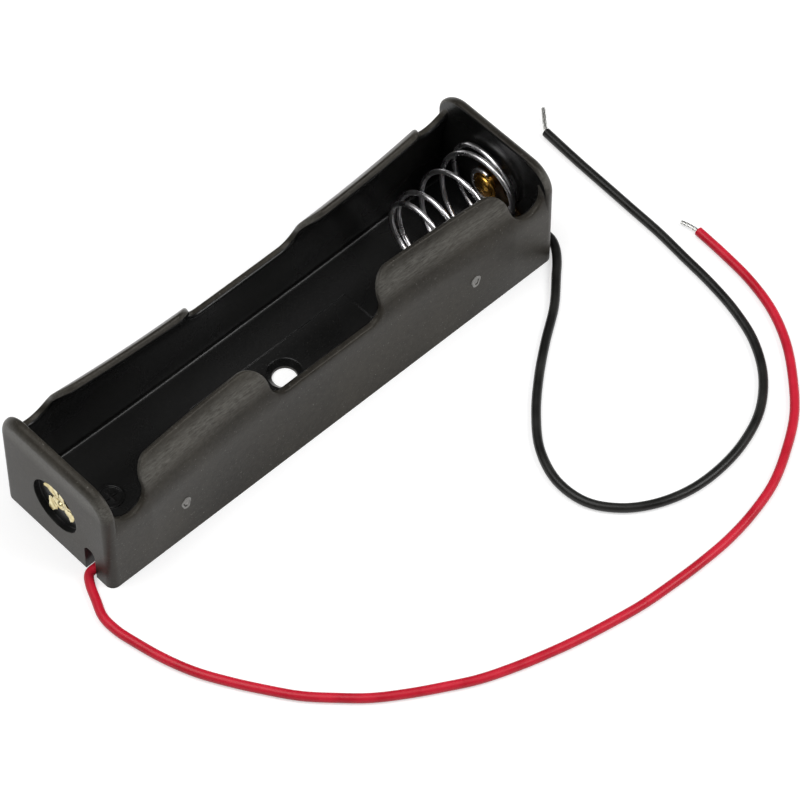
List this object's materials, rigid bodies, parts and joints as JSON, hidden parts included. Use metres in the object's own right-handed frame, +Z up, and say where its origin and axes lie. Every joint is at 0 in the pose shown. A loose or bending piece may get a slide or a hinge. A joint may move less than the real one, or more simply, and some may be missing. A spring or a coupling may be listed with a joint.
{
  "type": "cylindrical cell holder",
  "caption": "Open plastic holder for a cylindrical cell, with a riveted contact plate, a coil spring contact and two flying leads.",
  "frame": {"origin": "centre of the housing's underside, 1 mm from the screw hole's axis", "axes": "+X along the cell towards the spring contact, +Y across the housing away from the lead slots, +Z up out of the open top"},
  "size_m": [0.0994, 0.0695, 0.018],
  "materials": {
    "housing_plastic": "satin, finely speckled",
    "nickel_plate": "nickel plated",
    "brass_plate": "stamped",
    "brass_rivet": "bright",
    "solder": "bright",
    "spring_wire": "nickel plated",
    "copper_strands": "stranded copper",
    "red_insulation": "smooth satin",
    "black_insulation": "smooth satin"
  },
  "bodies": {
    "holder": {"housing": "housing_plastic", "positive_contact_plate": "nickel_plate", "positive_rivet": "brass_rivet", "positive_solder_joint": "solder", "red_lead": "red_insulation", "red_lead_inner_strands": "copper_strands", "red_lead_tinned_end": "solder", "negative_contact_plate": "brass_plate", "negative_rivet": "brass_rivet", "negative_solder_joint": "solder", "black_lead": "black_insulation", "black_lead_inner_strands": "copper_strands", "black_lead_tinned_end": "solder"},
    "spring": {"contact_spring": "spring_wire"}
  },
  "joints": [
    {"name": "spring_press", "type": "slide", "parent": "holder", "child": "spring", "axis": [1, 0, 0], "range_m": [0, 0.009], "stiffness_N_per_m": 400, "deforming": ["contact_spring"]}
  ]
}
